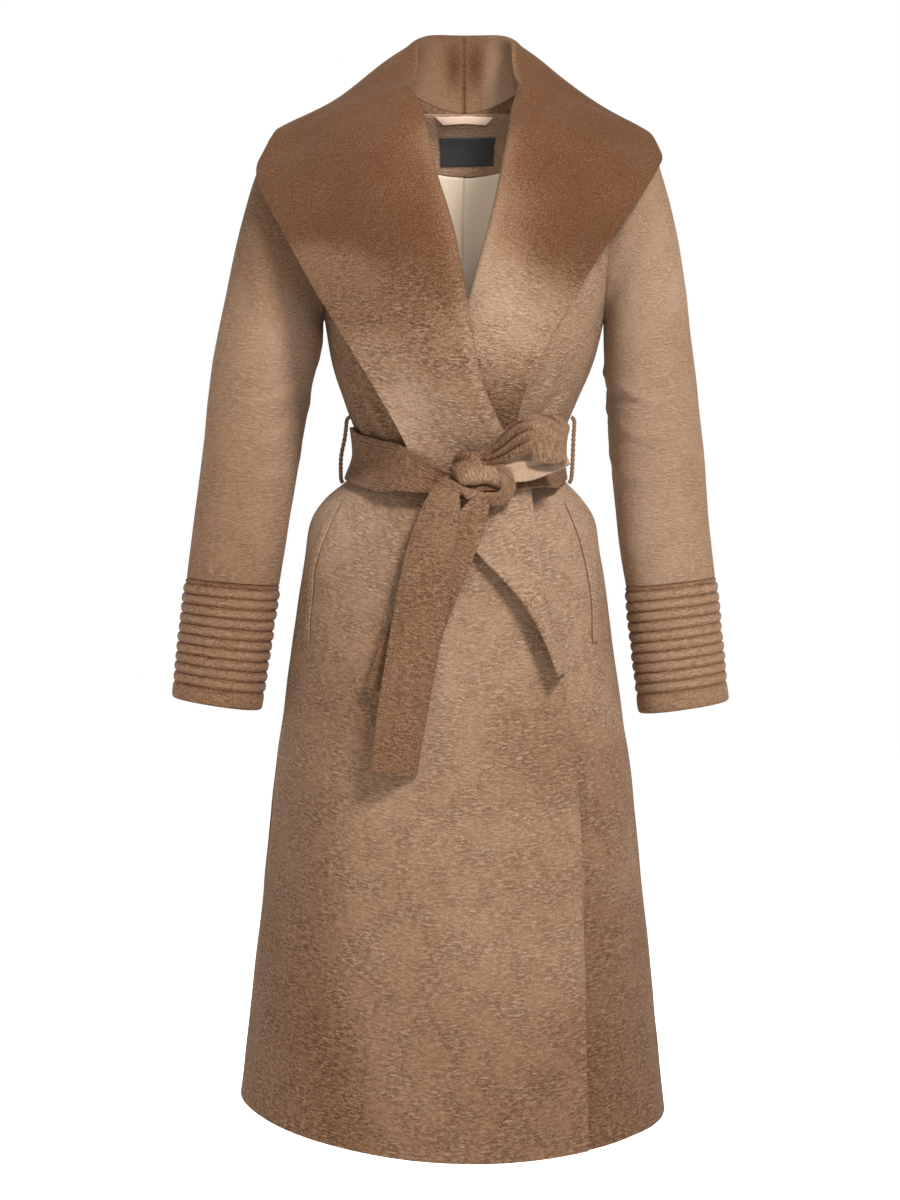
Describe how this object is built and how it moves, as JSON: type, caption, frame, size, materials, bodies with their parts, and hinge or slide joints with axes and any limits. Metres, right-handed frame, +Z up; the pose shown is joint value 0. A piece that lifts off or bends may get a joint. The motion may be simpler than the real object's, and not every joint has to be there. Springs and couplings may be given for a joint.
{
  "type": "wool wrap coat",
  "caption": "Long wool coat with a wide shawl collar, wrapped right over left, with ribbed cuffs and a tied cloth belt, in its worn hollow form.",
  "frame": {"origin": "midway between the shoulder seams at the neck, where the wearer's shoulders carry the coat", "axes": "+Z up, the front faces -Y, +X is the wearer's left"},
  "size_m": [0.6082, 0.3808, 1.2065],
  "materials": {
    "wool": "brushed wool with a short lying nap",
    "wool_collar": "brushed wool, double layer",
    "wool_rib": "brushed wool in stitched ribs",
    "wool_belt": "brushed wool, double layer",
    "satin_lining": "satin lining",
    "satin_trim": "satin strip",
    "label_black": "woven black label, left bare"
  },
  "bodies": {
    "root": {"back": "wool", "front_right": "wool", "front_left": "wool", "sleeve_right": "wool", "sleeve_left": "wool", "back_facing": "wool", "pocket_welt_right": "wool", "pocket_welt_left": "wool", "collar_right": "wool_collar", "collar_left": "wool_collar", "cuff_right": "wool_rib", "cuff_left": "wool_rib", "belt_band": "wool_belt", "belt_knot": "wool_belt", "belt_bow_loop": "wool_belt", "belt_tail_long": "wool_belt", "belt_tail_short": "wool_belt", "belt_loop_right": "wool_belt", "belt_loop_left": "wool_belt", "back_lining": "satin_lining", "hanger_loop": "satin_trim", "neck_label": "label_black"}
  },
  "joints": []
}
